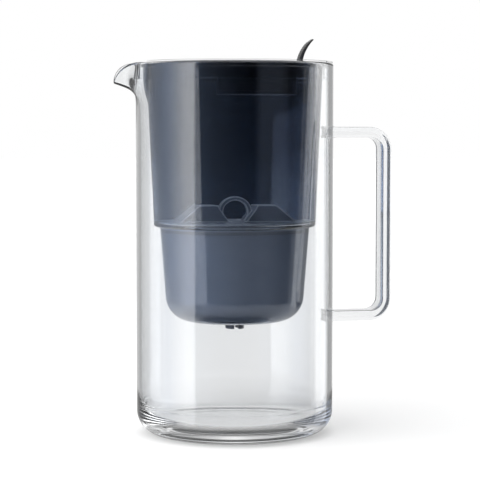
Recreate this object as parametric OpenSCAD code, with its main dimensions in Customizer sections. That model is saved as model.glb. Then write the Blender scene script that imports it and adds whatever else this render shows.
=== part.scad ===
// Water filter pitcher: glass jug, smoked hopper, filter cartridge and a flip lid with a thumb tab.
// The spout points to -X and the handle to +X. The origin is the middle of the jug's underside.

/* [Glass jug] */
// Outer radius of the jug
jug_r = 65; // [58:0.5:75]
// Height of the glass rim above the table
jug_h = 244; // [232:1:270]
// Thickness of the glass wall
glass_wall = 3; // [2.6:0.1:3.4]
// Thickness of the glass floor
glass_floor = 8.5; // [6:0.5:12]
// Outer rounding of the bottom corner
foot_r = 15.4; // [10:0.2:18]
// Inner rounding of the bottom corner
inner_foot_r = 12; // [8:0.5:15]

/* [Spout] */
// How far the spout's lip stands out from the wall
spout_out = 16; // [13:0.5:20]
// Half of the spout's width where it leaves the wall
spout_half_w = 20; // [15:0.5:24]
// Height that the spout takes from the rim downwards
spout_drop = 23; // [21:0.5:28]

/* [Handle] */
// How far the handle stands out from the wall
handle_out = 41; // [36:0.5:50]
// Thickness of the glass strap
strap_t = 7; // [6:0.2:8]
// Width of the glass strap
strap_w = 16; // [12:1:20]
// Top of the upper arm, below the rim
handle_top_drop = 41.5; // [35:0.5:60]
// Height of the underside of the lower arm
handle_bottom_z = 72.8; // [50:0.5:90]

/* [Hopper] */
// Gap between the hopper and the glass, which the collar fills
rim_gap = 4; // [3.6:0.1:5]
// How much narrower the hopper is at its shoulder than under its rim
hopper_taper = 4.6; // [3:0.1:6]
// Height of the underside of the shoulder
shoulder_z = 137; // [134:0.5:142]
// Width of the shoulder that the cartridge's flange rests over
shoulder_w = 4; // [3.6:0.1:5]
// How much narrower the cup is at its bottom rounding than at its top
cup_taper = 3.6; // [2:0.1:6]
// Outer rounding of the cup's bottom
cup_round = 17; // [14:0.5:22]
// Height of the cup's underside
cup_bottom_z = 74.5; // [70:0.5:80]
// Thickness of the hopper's wall
hopper_wall = 2.2; // [1.8:0.1:2.4]

/* [Cartridge] */
// Gap between the cartridge's casing and the cup
cartridge_gap = 1.2; // [0.9:0.1:1.6]
// Height of the flat shoulders of the cartridge's cap above the flange
cap_rise = 11; // [9:0.5:16]
// Outer radius of the pull ring
pull_ring_r = 10; // [9:0.5:11.5]
// Radius of the hole in the pull ring
pull_hole_r = 7.4; // [6:0.2:8]

/* [Lid] */
// Height of the lid's skirt
skirt_h = 9.7; // [8:0.1:12]
// Thickness of the flap
flap_t = 2; // [1.6:0.1:2.2]
// Distance of the flap's hinge in from the hopper's rim
hinge_inset = 14.1; // [13:0.1:17]
// Diameter of the hinge pins
pin_d = 2.6; // [2:0.1:3]
// Width of the thumb tab
tab_w = 12; // [8:0.5:15]
// Thickness of the thumb tab
tab_t = 2.4; // [2:0.1:2.8]
// Height of the thumb tab's tip above the glass rim
tab_rise = 17; // [13:0.5:18]

/* [Indicator] */
// Length of the indicator pod under the flap
pod_l = 48; // [44:0.5:50]
// Width of the indicator pod
pod_w = 27; // [25:0.5:32]
// Depth of the indicator pod below the flap
pod_h = 17.9; // [15:0.1:20]
// Diameter of the coin cell
cell_d = 20; // [16:0.5:20]
// Diameter of the reset button
button_d = 9.4; // [7:0.1:11]

/* [Hidden] */
$fn = 96;

eps = 0.01; // over-run of a cutter past the face that it opens
far = 200; // longer than anything in the pitcher
loose = 0.4; // radial gap between pieces that lift apart
seat_gap = 0.2; // gap under a rim that rests on another piece
turn_fit = 0.05; // radial gap of a hinge bore on its pin

// Radii, from the glass inwards
jug_in_r = jug_r - glass_wall;
spout_reach = jug_r + spout_out;
handle_reach = jug_r + handle_out;
hopper_top_r = jug_in_r - rim_gap;
hopper_low_r = hopper_top_r - hopper_taper;
cup_top_r = hopper_low_r - shoulder_w;
cup_low_r = cup_top_r - cup_taper;
hinge_x = hopper_top_r - hinge_inset;

spout_wall = 2.4;
mouth_w = 5.4; // width of the mouth at the spout's tip

// Rim stack, from the glass upwards
lip_t = 1; // thickness of the collar's lip over the glass rim
lip_over = 2.6; // how far the lip reaches over the glass
lip_bottom_z = jug_h + seat_gap;
collar_top_z = lip_bottom_z + lip_t;
collar_out_r = jug_in_r - loose;
rim_step = 2; // radial width of the hopper's flange
flange_t = 2; // thickness of the hopper's flange
flange_r = hopper_top_r + rim_step;
flange_bottom_z = jug_h - 3;
flange_top_z = flange_bottom_z + flange_t;
collar_bottom_z = flange_bottom_z - 7.6;
collar_gap_angle = 34; // the collar is open over this angle at the spout

// Lid levels
lid_seat_z = flange_top_z + seat_gap;
lid_top_z = lid_seat_z + 1.4;
skirt_bottom_z = lid_seat_z - skirt_h;
skirt_out_r = hopper_r_at(skirt_bottom_z) - hopper_wall - loose;
skirt_t = 1.8;
frame_in_r = skirt_out_r - skirt_t;
flap_top_z = lid_top_z - 0.2;
flap_bottom_z = flap_top_z - flap_t;
ledge_t = 2;
ledge_w = 3.4;
ledge_top_z = flap_bottom_z - seat_gap;
flap_gap = 0.6; // gap round the flap
flap_r = frame_in_r - flap_gap;
hinge_drop = 5.9; // hinge axis below the lid's top
hinge_z = lid_top_z - hinge_drop;

// Hinge
knuckle_r = 3.3;
sweep_r = 6.6; // room that the flap's hinge edge sweeps
flap_edge_x = hinge_x - 0.2;
flap_neck_w = 44; // width of the flap where it reaches the hinge
flap_neck_l = 9.9; // length of the neck
flap_neck_x = hinge_x - flap_neck_l;
neck_gap = 0.6; // gap beside the neck
corner_gap = 1.5; // gap that the neck's corners need as they swing up
tab_way = 0.6; // gap beside the thumb tab in the frame's deck
inner_lug_y = tab_w / 2 + 1.4; // start of each inner lug along Y
knuckle_w = 5;
lug_gap = 0.3;
lug_in_w = 3;
lug_out_w = 4;
pin_len = lug_in_w + knuckle_w + lug_out_w + 2 * lug_gap;
knuckle_y = inner_lug_y + lug_in_w + lug_gap;
pin_r = pin_d / 2;
web_top = 2.2; // top of a lug's web above the hinge axis

// Thumb tab
tab_foot_drop = 5.2; // foot of the tab below the hinge axis
tab_foot_z = hinge_z - tab_foot_drop;
tab_bend_z = lid_top_z + 1;
tab_tip_z = jug_h + tab_rise;
tab_lean = 9.4; // how far the tip leans outwards from the foot
tab_rib_w = 0.7;
tab_ribs = 6;

// Indicator
pod_wall = 1.8;
pod_hinge_gap = 6.5; // from the pod's end to the hinge axis
pod_x = hinge_x - pod_hinge_gap - pod_l / 2;
pod_bottom_z = flap_bottom_z - pod_h;
cover_t = 2;
board_t = 1.2;
board_drop = 6.2; // underside of the board below the flap
board_z = flap_bottom_z - board_drop;
button_x = pod_x + 8;
lens_x = pod_x - 13;
lens_r = 2.6;
button_r = button_d / 2;
button_gap = 0.3;
button_flange_t = 0.8;
button_flange_w = 0.9;
cell_t = 3.2;
cell_x = pod_x - 5;
dome_h = 2.2;
dome_wall = 0.8;
seal_w = 1;
screw_x = pod_l / 2 - 5.2;
screw_head_r = 1.9;
screw_r = 1;
screw_len = 6;

// Cartridge levels
deck_z = shoulder_z + hopper_wall;
cap_flange_t = 1.6;
cap_flange_z = deck_z + seat_gap;
cap_top_z = cap_flange_z + cap_flange_t;
cap_flange_r = cup_top_r - 0.6;
ridge_top_z = cap_top_z + cap_rise;
ridge_half_low = cap_flange_r - 13;
ridge_half_top = ridge_half_low - 12.3;
ridge_w = 20;
ring_z = ridge_top_z - 4.4;
ring_t = 4.4;
shell_wall = 1.6;
shell_grow = hopper_wall + cartridge_gap; // from the cup's outside to the casing's outside
shell_rim_z = cap_flange_z;
shell_bottom_z = cup_bottom_z + hopper_wall + cartridge_gap;
shell_floor_z = shell_bottom_z + shell_wall;
sieve_t = 0.8;
bed_split_z = shell_floor_z + 24;
bed_top_z = shell_rim_z - 2.4;
shell_seal_z = shell_rim_z - 5.6;
seal_t = 2;

// Outlet nozzle
nozzle_r = 6.2;
nozzle_bore_r = 3.1;
nozzle_drop = 5.3; // how far the nozzle stands below the cup
nozzle_flange_r = 8.2;
nozzle_flange_t = 0.8;

// Points on an arc about (cx, cy) from angle a0 to a1
function arc(cx, cy, r, a0, a1, steps) =
    [for (i = [0:steps]) let (a = a0 + (a1 - a0) * i / steps) [cx + r * cos(a), cy + r * sin(a)]];

// Outer radius of the hopper's funnel at a height
function hopper_r_at(z) =
    hopper_low_r + (hopper_top_r - hopper_low_r) * (z - shoulder_z) / (flange_bottom_z - shoulder_z);

// Half profile of the cup drawn inwards by a distance, from its axis out and up to a height
function cup_profile(inset, top_z) =
    let (
        round_z = cup_bottom_z + cup_round,
        round_x = cup_low_r - cup_round,
        slope = (cup_top_r - cup_low_r) / (shoulder_z - round_z),
        top_r = cup_low_r + slope * (top_z - round_z) - inset
    )
    concat(
        [[0, cup_bottom_z + inset]],
        arc(round_x, round_z, cup_round - inset, -90, 0, 10),
        [[top_r, top_z], [0, top_z]]
    );

// Stadium outline for the pod and what it holds
module stadium(l, w, h) {
    translate([-(l - w) / 2, 0, 0]) cylinder(d = w, h = h);
    translate([(l - w) / 2, 0, 0]) cylinder(d = w, h = h);
    translate([-(l - w) / 2, -w / 2, 0]) cube([l - w, w, h]);
}

// An outline in X and Z, drawn out along Y about the middle
module along_y(w) {
    rotate([90, 0, 0]) translate([0, 0, -w / 2]) linear_extrude(height = w) children();
}

// Ring with straight walls
module ring(r_out, r_in, z0, z1) {
    translate([0, 0, z0]) difference() {
        cylinder(r = r_out, h = z1 - z0);
        translate([0, 0, -1]) cylinder(r = r_in, h = z1 - z0 + 2);
    }
}

// Side outline of the spout: the lip's arc, the tip and the underside
module spout_side() {
    lip_r = spout_reach - jug_r - 0.8;
    root_z = jug_h - spout_drop;
    tip_z = jug_h - lip_r;
    polygon(concat(
        [[-jug_in_r + 6, root_z], [-jug_in_r + 6, jug_h]],
        arc(-jug_r - 0.8, tip_z, lip_r, 90, 180, 10),
        [[-spout_reach + 0.6, tip_z - 1.4], [-spout_reach + 2, tip_z - 2]],
        arc(-jug_r - 8, tip_z - 12, 8, 75, 0, 6)
    ));
}

// Plan of the spout: a wedge with a round tip, drawn inwards by a distance
module spout_plan(inset, reach) {
    tip_r = 5 - inset;
    polygon(concat(
        [[-jug_in_r + 6, spout_half_w + 3 - inset], [-jug_in_r - 1, spout_half_w - inset]],
        arc(-reach + tip_r, 0, tip_r, 110, 250, 8),
        [[-jug_in_r - 1, -spout_half_w + inset], [-jug_in_r + 6, -spout_half_w - 3 + inset]]
    ));
}

module spout_body() {
    intersection() {
        along_y(4 * spout_half_w) spout_side();
        translate([0, 0, jug_h - spout_drop - 1])
            linear_extrude(height = spout_drop + 2) spout_plan(0, spout_reach);
    }
}

// The water's way over the wall and along the spout
module spout_channel() {
    floor_in_z = jug_h - spout_drop + 4.5;
    floor_out_z = jug_h - spout_reach + jug_r + 2.9;
    intersection() {
        along_y(4 * spout_half_w) polygon([
            [-jug_in_r + 7, floor_in_z], [-jug_r - 2, floor_in_z + 1.6],
            [-spout_reach - 10, floor_out_z + 2], [-spout_reach - 10, jug_h + 10],
            [-jug_in_r + 7, jug_h + 10]
        ]);
        translate([0, 0, jug_h - spout_drop])
            linear_extrude(height = spout_drop + 5) union() {
                spout_plan(spout_wall, spout_reach);
                // Mouth through the tip
                translate([-spout_reach - 5, -mouth_w / 2]) square([16, mouth_w]);
            }
    }
}

module glass_jug() {
    rim_r = glass_wall / 2;
    color([0.86, 0.9, 0.92, 0.35]) difference() {
        union() {
            rotate_extrude() polygon(concat(
                [[0, 0]],
                arc(jug_r - foot_r, foot_r, foot_r, -90, 0, 10),
                [[jug_r, jug_h - rim_r], [0, jug_h - rim_r]]
            ));
            translate([0, 0, jug_h - rim_r]) rotate_extrude()
                translate([jug_r - rim_r, 0]) circle(r = rim_r);
            spout_body();
        }
        rotate_extrude() polygon(concat(
            [[0, glass_floor]],
            arc(jug_in_r - inner_foot_r, glass_floor + inner_foot_r, inner_foot_r, -90, 0, 10),
            [[jug_in_r, jug_h + 1], [0, jug_h + 1]]
        ));
        spout_channel();
    }
}

// Upright rounded rectangle in X and Z
module rounded_frame(x0, z0, x1, z1, r, w) {
    along_y(w) union() {
        translate([x0, z0]) square([x1 - x0 - r, z1 - z0]);
        translate([x0, z0 + r]) square([x1 - x0, z1 - z0 - 2 * r]);
        for (z = [z0 + r, z1 - r]) translate([x1 - r, z]) circle(r = r);
    }
}

module glass_handle() {
    top_z = jug_h - handle_top_drop;
    outer_corner = 15;
    inner_corner = outer_corner - strap_t;
    color([0.86, 0.9, 0.92, 0.35]) difference() {
        rounded_frame(jug_r - 8, handle_bottom_z, handle_reach, top_z, outer_corner, strap_w);
        rounded_frame(
            0, handle_bottom_z + strap_t, handle_reach - strap_t, top_z - strap_t,
            inner_corner, strap_w + 2
        );
        cylinder(r = jug_r, h = far * 2);
    }
}

module rim_collar() {
    lip_out_r = jug_in_r + lip_over;
    color([0.93, 0.95, 0.96, 0.5]) difference() {
        union() {
            ring(collar_out_r, hopper_top_r + 0.3, collar_bottom_z, flange_bottom_z);
            ring(collar_out_r, flange_r + 0.1, flange_bottom_z, collar_top_z);
            ring(lip_out_r, collar_out_r - 0.5, lip_bottom_z, collar_top_z);
        }
        translate([0, 0, collar_bottom_z - 1]) rotate([0, 0, 180 - collar_gap_angle / 2])
            rotate_extrude(angle = collar_gap_angle) square([far, 20]);
    }
}

module hopper() {
    color([0.2, 0.22, 0.28, 0.85]) difference() {
        union() {
            rotate_extrude() polygon([
                [0, shoulder_z], [hopper_low_r - 3, shoulder_z],
                [hopper_low_r - 0.9, shoulder_z + 0.9], [hopper_low_r, shoulder_z + 3],
                [hopper_top_r, flange_bottom_z], [flange_r, flange_bottom_z],
                [flange_r, flange_top_z], [0, flange_top_z]
            ]);
            rotate_extrude() polygon(cup_profile(0, shoulder_z + eps));
        }
        rotate_extrude() polygon([
            [0, deck_z], [hopper_low_r - 3 - hopper_wall / 2, deck_z],
            [hopper_low_r - hopper_wall, deck_z + 2],
            [hopper_top_r - hopper_wall, flange_bottom_z],
            [hopper_top_r - hopper_wall, flange_top_z + 1], [0, flange_top_z + 1]
        ]);
        rotate_extrude() polygon(cup_profile(hopper_wall, deck_z + 1));
        translate([0, 0, cup_bottom_z - 1]) cylinder(r = nozzle_r, h = hopper_wall + 2);
    }
}

module outlet_nozzle() {
    notch_w = 3;
    color([0.1, 0.11, 0.14]) difference() {
        union() {
            translate([0, 0, cup_bottom_z - nozzle_drop])
                cylinder(r = nozzle_r, h = nozzle_drop + hopper_wall);
            translate([0, 0, cup_bottom_z - nozzle_flange_t])
                cylinder(r = nozzle_flange_r, h = nozzle_flange_t);
        }
        translate([0, 0, cup_bottom_z - nozzle_drop - 1]) cylinder(r = nozzle_bore_r, h = 10);
        for (a = [0, 90]) rotate([0, 0, a])
            translate([-nozzle_r - 1, -notch_w / 2, cup_bottom_z - nozzle_drop - 1])
                cube([2 * nozzle_r + 2, notch_w, nozzle_drop - nozzle_flange_t + 0.4]);
    }
}

module cartridge_shell() {
    outlet_ring_r = 13;
    outlets = 8;
    color([0.92, 0.93, 0.94]) difference() {
        rotate_extrude() polygon(cup_profile(shell_grow, shell_rim_z));
        rotate_extrude() polygon(cup_profile(shell_grow + shell_wall, shell_rim_z + 1));
        for (i = [0:outlets - 1]) rotate([0, 0, 360 * i / outlets])
            translate([outlet_ring_r, 0, shell_bottom_z - 1]) cylinder(r = 1.5, h = 4);
    }
    // Rib that carries the seal
    color([0.92, 0.93, 0.94]) difference() {
        translate([0, 0, shell_seal_z - 1.2])
            cylinder(r = cup_inner_r(shell_seal_z - 1.2) - 0.5, h = 1.2);
        rotate_extrude() polygon(cup_profile(shell_grow + 0.3, shell_rim_z + 1));
    }
}

// Inner radius of the hopper's cup at a height above its bottom rounding
function cup_inner_r(z) =
    cup_low_r - hopper_wall
    + (cup_top_r - cup_low_r) * (z - cup_bottom_z - cup_round) / (shoulder_z - cup_bottom_z - cup_round);

module cartridge_seal() {
    color([0.15, 0.16, 0.18]) difference() {
        translate([0, 0, shell_seal_z]) cylinder(r = cup_inner_r(shell_seal_z) - 0.35, h = seal_t);
        rotate_extrude() polygon(cup_profile(shell_grow, shell_rim_z + 1));
    }
}

// Outline of the cap's ridge with its U-shaped finger recess, in X and Z
module ridge_outline() {
    difference() {
        polygon([
            [-ridge_half_low, cap_top_z - eps], [-ridge_half_top, ridge_top_z],
            [ridge_half_top, ridge_top_z], [ridge_half_low, cap_top_z - eps]
        ]);
        polygon([
            [-pull_ring_r - 2.5, ridge_top_z + 1], [-pull_ring_r - 1.4, ridge_top_z - 2],
            [-5.6, cap_top_z + 0.6], [5.6, cap_top_z + 0.6],
            [pull_ring_r + 1.4, ridge_top_z - 2], [pull_ring_r + 2.5, ridge_top_z + 1]
        ]);
    }
}

module cartridge_cap() {
    inlets = 10;
    inlet_l = 12;
    inlet_w = 3;
    inlet_start = cap_flange_r - 20.8;
    color([0.75, 0.78, 0.82]) difference() {
        union() {
            translate([0, 0, cap_flange_z]) cylinder(r = cap_flange_r, h = cap_flange_t);
            along_y(ridge_w) ridge_outline();
            along_y(ring_t) intersection() {
                translate([0, ring_z]) circle(r = pull_ring_r);
                translate([-far / 2, cap_top_z - eps]) square(far);
            }
        }
        // Hole of the pull ring, flat at the bottom where it meets the flange
        intersection() {
            along_y(far) translate([0, ring_z]) circle(r = pull_hole_r);
            translate([-far / 2, -far / 2, cap_top_z]) cube(far);
        }
        for (side = [-1, 1]) for (i = [0:inlets / 2 - 1])
            rotate([0, 0, 90 * side + 18 * (i - 2)])
                translate([inlet_start, -inlet_w / 2, cap_flange_z - 1])
                    cube([inlet_l, inlet_w, cap_flange_t + 2]);
    }
}

// Disc that fills the casing between two heights
module casing_layer(z0, z1) {
    intersection() {
        rotate_extrude() polygon(cup_profile(shell_grow + shell_wall + 0.15, shell_rim_z));
        translate([0, 0, z0]) cylinder(r = far, h = z1 - z0);
    }
}

module inlet_sieve() {
    color([0.9, 0.9, 0.88]) casing_layer(bed_top_z + 0.1, bed_top_z + sieve_t);
}

module carbon_bed() {
    color([0.09, 0.09, 0.1]) casing_layer(bed_split_z, bed_top_z);
}

module resin_bed() {
    color([0.85, 0.72, 0.45]) casing_layer(shell_floor_z + sieve_t + 0.2, bed_split_z - 0.1);
}

module outlet_sieve() {
    color([0.9, 0.9, 0.88]) casing_layer(shell_floor_z + 0.1, shell_floor_z + sieve_t);
}

// Deck on the handle side, open where the flap's neck lies and swings
module hinge_bridge() {
    way_w = flap_neck_w + 2 * neck_gap;
    deck_h = lid_top_z - ledge_top_z + ledge_t;
    difference() {
        intersection() {
            translate([flap_neck_x + corner_gap, -far / 2, ledge_top_z - ledge_t])
                cube([far, far, deck_h]);
            cylinder(r = frame_in_r + eps, h = far * 2);
        }
        translate([0, -way_w / 2, ledge_top_z - ledge_t - 1]) cube([hinge_x, way_w, deck_h + 2]);
        // Notch that the thumb tab swings into
        translate([hinge_x, -tab_w / 2 - tab_way, ledge_top_z - ledge_t - 1])
            cube([frame_in_r - hinge_x, tab_w + 2 * tab_way, deck_h + 2]);
        translate([hinge_x, 0, hinge_z]) rotate([90, 0, 0])
            cylinder(r = sweep_r, h = way_w, center = true);
    }
}

// One lug at a place along Y, with its web to the bridge and the skirt
module hinge_lug(y, w) {
    intersection() {
        translate([hinge_x, y, hinge_z]) difference() {
            union() {
                rotate([90, 0, 0]) cylinder(r = knuckle_r, h = w, center = true);
                translate([0, -w / 2, -knuckle_r]) cube([far, w, knuckle_r + web_top]);
                translate([sweep_r - 0.6, -w / 2, 0]) cube([far, w, lid_top_z - hinge_z - 1]);
            }
            rotate([90, 0, 0]) cylinder(r = pin_r, h = w + 2, center = true);
        }
        cylinder(r = frame_in_r + eps, h = far * 2);
    }
}

module lid_frame() {
    color([0.2, 0.22, 0.28, 0.9]) {
        ring(flange_r - loose, frame_in_r, lid_seat_z, lid_top_z);
        ring(skirt_out_r, frame_in_r, skirt_bottom_z, lid_seat_z + eps);
        // Ledge that the flap rests on
        difference() {
            ring(frame_in_r + eps, frame_in_r - ledge_w, ledge_top_z - ledge_t, ledge_top_z);
            translate([flap_neck_x + corner_gap, -far / 2, 0]) cube([far, far, far * 2]);
        }
        hinge_bridge();
        // Lugs that hold the pins
        for (side = [-1, 1]) {
            hinge_lug(side * (inner_lug_y + lug_in_w / 2), lug_in_w);
            hinge_lug(side * (inner_lug_y + pin_len - lug_out_w / 2), lug_out_w);
        }
    }
}

module hinge_pins() {
    color([0.75, 0.76, 0.78]) for (side = [-1, 1])
        translate([hinge_x, side * (inner_lug_y + pin_len / 2), hinge_z])
            rotate([90, 0, 0]) cylinder(r = pin_r, h = pin_len, center = true);
}

module lid_flap() {
    rib_h = 4;
    rib_t = 1.6;
    rib_out_r = frame_in_r - ledge_w - flap_gap;
    color([0.2, 0.22, 0.28, 0.9]) difference() {
        union() {
            // Plate with its neck, and a stiffening rib under it
            intersection() {
                translate([0, 0, flap_bottom_z]) cylinder(r = flap_r, h = flap_t);
                union() {
                    translate([-far, -far / 2, 0]) cube([far + flap_neck_x, far, far * 2]);
                    translate([0, -flap_neck_w / 2, 0]) cube([flap_edge_x, flap_neck_w, far * 2]);
                }
            }
            intersection() {
                ring(rib_out_r, rib_out_r - rib_t, flap_bottom_z - rib_h, flap_bottom_z + eps);
                translate([-far, -far / 2, 0])
                    cube([far + flap_neck_x - 2 * corner_gap, far, far * 2]);
            }
            for (side = [-1, 1])
                translate([hinge_x, side * (knuckle_y + knuckle_w / 2), hinge_z]) {
                    rotate([90, 0, 0]) cylinder(r = knuckle_r, h = knuckle_w, center = true);
                    translate([-6, -knuckle_w / 2, 0])
                        cube([6, knuckle_w, flap_bottom_z - hinge_z + eps]);
                }
            // Tongue that the thumb tab is pressed on
            translate([hinge_x - 6, -tab_w / 2, flap_bottom_z - 3])
                cube([6 - tab_t / 2, tab_w, flap_t + 3]);
        }
        translate([hinge_x, 0, hinge_z]) rotate([90, 0, 0])
            cylinder(r = pin_r + turn_fit, h = far, center = true);
        translate([button_x, 0, flap_bottom_z - 5]) cylinder(r = button_r + button_gap, h = 10);
        translate([lens_x, 0, flap_bottom_z - 5]) cylinder(r = lens_r, h = 10);
        // The tab's foot passes here when the flap is shut
        translate([hinge_x - tab_t / 2, -tab_w / 2 - 0.2, tab_foot_z - 1])
            cube([tab_t, tab_w + 0.4, far]);
    }
}

// Middle line of the thumb tab above its bend, a parabola that leans outwards
function tab_line(s) = [
    hinge_x + tab_lean * s * s,
    tab_bend_z + (tab_tip_z - tab_bend_z) * s
];

module thumb_tab() {
    steps = 8;
    tip_t = 1;
    front = [for (i = [0:steps]) let (s = i / steps)
        tab_line(s) - [(tab_t - (tab_t - tip_t) * s) / 2, 0]];
    back = [for (i = [steps:-1:0]) let (s = i / steps)
        tab_line(s) + [(tab_t - (tab_t - tip_t) * s) / 2, -(i == steps ? 0.4 : 0)]];
    crown_r = tab_w / 2;
    color([0.03, 0.03, 0.035]) {
        intersection() {
            along_y(tab_w) polygon(concat(
                [[hinge_x - tab_t / 2, tab_foot_z]], front, back,
                [[hinge_x + tab_t / 2, tab_foot_z]]
            ));
            // Round top of the tab, seen from the spout
            rotate([90, 0, 90]) linear_extrude(height = far) union() {
                translate([-tab_w / 2, tab_foot_z - 1])
                    square([tab_w, tab_tip_z - crown_r - tab_foot_z + 1]);
                translate([0, tab_tip_z - crown_r]) circle(r = crown_r);
            }
        }
        // Grip ribs on the face that the thumb presses
        for (i = [1:tab_ribs]) let (s = i / (tab_ribs + 2), p = tab_line(s))
            translate([p[0] - (tab_t - (tab_t - tip_t) * s) / 2 - tab_rib_w * 0.55, -tab_w / 2 + 1.6, p[1]])
                cube([tab_rib_w, tab_w - 3.2, tab_rib_w]);
    }
}

module indicator_housing() {
    color([0.16, 0.17, 0.21]) translate([pod_x, 0, pod_bottom_z + cover_t]) difference() {
        stadium(pod_l, pod_w, pod_h - cover_t);
        translate([0, 0, -1]) stadium(pod_l - 2 * pod_wall, pod_w - 2 * pod_wall, pod_h);
    }
    // Posts for the cover's screws
    color([0.16, 0.17, 0.21]) for (side = [-1, 1]) difference() {
        translate([pod_x + side * screw_x, 0, pod_bottom_z + cover_t + 1.2])
            cylinder(r = 2.6, h = 8);
        translate([pod_x + side * screw_x, 0, pod_bottom_z]) cylinder(r = screw_r, h = far);
    }
    // Bracket from each post to the end wall
    color([0.16, 0.17, 0.21]) for (side = [-1, 1])
        translate([pod_x + side * (screw_x + 2.9) - 0.6, -1, pod_bottom_z + cover_t + 1.2])
            cube([1.2, 2, 8]);
}

module indicator_board() {
    board_gap = 0.5;
    board_l = pod_l - 18;
    color([0.1, 0.35, 0.2]) translate([pod_x, 0, board_z]) intersection() {
        stadium(
            pod_l - 2 * (pod_wall + board_gap), pod_w - 2 * (pod_wall + board_gap), board_t
        );
        cube([board_l, far, far], center = true);
    }
    // Light source under the lens
    color([0.95, 0.95, 0.85]) translate([lens_x - 1, -1, board_z + board_t]) cube([2, 2, 1]);
}

module indicator_cell() {
    color([0.72, 0.73, 0.75]) translate([cell_x, 0, board_z - cell_t - 0.3])
        cylinder(d = cell_d, h = cell_t);
}

module button_dome() {
    color([0.85, 0.85, 0.85]) translate([button_x, 0, board_z + board_t]) difference() {
        cylinder(r1 = button_r + 0.6, r2 = button_r - 1.4, h = dome_h);
        translate([0, 0, -eps])
            cylinder(r1 = button_r - 0.4, r2 = button_r - 2.4, h = dome_h - dome_wall);
    }
}

module indicator_button() {
    button_bottom_z = board_z + board_t + dome_h + 0.1;
    color([0.55, 0.58, 0.62]) translate([button_x, 0, 0]) {
        translate([0, 0, button_bottom_z])
            cylinder(r = button_r, h = flap_top_z - button_bottom_z);
        translate([0, 0, flap_bottom_z - button_flange_t - 0.1])
            cylinder(r = button_r + button_flange_w, h = button_flange_t);
    }
}

module indicator_lens() {
    color([0.9, 0.95, 0.92, 0.7]) translate([lens_x, 0, board_z + board_t + 1.2])
        cylinder(r = lens_r - 0.05, h = flap_top_z - board_z - board_t - 1.2);
}

module indicator_seal() {
    color([0.2, 0.2, 0.22]) translate([pod_x, 0, pod_bottom_z + cover_t]) difference() {
        stadium(pod_l - 2 * pod_wall - 0.1, pod_w - 2 * pod_wall - 0.1, 1);
        translate([0, 0, -1]) stadium(
            pod_l - 2 * (pod_wall + seal_w), pod_w - 2 * (pod_wall + seal_w), 3
        );
    }
}

module indicator_cover() {
    color([0.16, 0.17, 0.21]) translate([pod_x, 0, pod_bottom_z]) difference() {
        stadium(pod_l, pod_w, cover_t);
        for (side = [-1, 1]) translate([side * screw_x, 0, -1]) {
            cylinder(r = screw_r + 0.3, h = cover_t + 2);
            cylinder(r = screw_head_r + 0.2, h = 2);
        }
    }
}

module cover_screws() {
    color([0.7, 0.71, 0.73]) for (side = [-1, 1])
        translate([pod_x + side * screw_x, 0, pod_bottom_z + 0.2]) {
            difference() {
                cylinder(r = screw_head_r, h = 0.8);
                translate([-2, -0.25, -1]) cube([4, 0.5, 1.4]);
            }
            cylinder(r = screw_r, h = screw_len);
        }
}

glass_jug();
glass_handle();
rim_collar();
hopper();
outlet_nozzle();
cartridge_shell();
cartridge_cap();
cartridge_seal();
inlet_sieve();
carbon_bed();
resin_bed();
outlet_sieve();
lid_frame();
hinge_pins();
lid_flap();
thumb_tab();
indicator_housing();
indicator_board();
indicator_cell();
button_dome();
indicator_button();
indicator_lens();
indicator_seal();
indicator_cover();
cover_screws();
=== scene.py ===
import bmesh
import bpy
import math
import numpy as np
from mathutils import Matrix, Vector


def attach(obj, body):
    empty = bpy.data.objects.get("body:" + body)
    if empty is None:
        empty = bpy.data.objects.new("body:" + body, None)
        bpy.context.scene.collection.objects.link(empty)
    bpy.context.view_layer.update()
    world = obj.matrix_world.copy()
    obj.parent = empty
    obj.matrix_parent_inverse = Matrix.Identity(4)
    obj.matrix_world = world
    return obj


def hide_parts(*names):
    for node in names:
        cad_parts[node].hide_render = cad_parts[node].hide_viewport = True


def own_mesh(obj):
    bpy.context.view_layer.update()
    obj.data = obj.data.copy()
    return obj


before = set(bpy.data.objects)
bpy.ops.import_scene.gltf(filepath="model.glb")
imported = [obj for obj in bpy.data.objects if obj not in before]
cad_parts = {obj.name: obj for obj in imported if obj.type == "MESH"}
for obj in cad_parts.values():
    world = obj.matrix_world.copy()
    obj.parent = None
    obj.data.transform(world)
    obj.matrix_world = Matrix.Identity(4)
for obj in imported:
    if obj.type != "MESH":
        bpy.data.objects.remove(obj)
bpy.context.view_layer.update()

MM = 0.001
TAU = 2 * math.pi

# ---------------------------------------------------------------- sizes, in mm
# Glass jug
JUG_R = 65.0
WALL = 3.0
RIM_R = WALL / 2
FLOOR_T = 8.5
FLOOR_DIP = ((20, 0.08), (6, 0.1))  # at this radius the inner floor is lower by this much
FOOT_R = 15.4
FOOT_START = -88  # the foot's rounding starts at this angle, in degrees
PUNT = 0.7  # how far the underside stands up in its middle
PUNT_CURVE = ((6, 1.0), (16, 0.97), (28, 0.85), (37, 0.55), (42, 0.25))  # radius, part of PUNT
PUNT_EDGE = (46, 0.03)  # radius, height
WELL_Z = 20.5  # the inside starts to round into its floor here
WELL_LEAD = ((0.0, 1.2), (0.12, 0.7), (0.3, 0.2))  # before that: in from the wall, above WELL_Z
WELL_CLEAR = 2.0  # the wall's own rows end this far above WELL_Z
WELL_STEP = 0.35  # how far in from the wall the rounding starts
WELL_IN = 11.65  # how far it goes in from there
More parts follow.
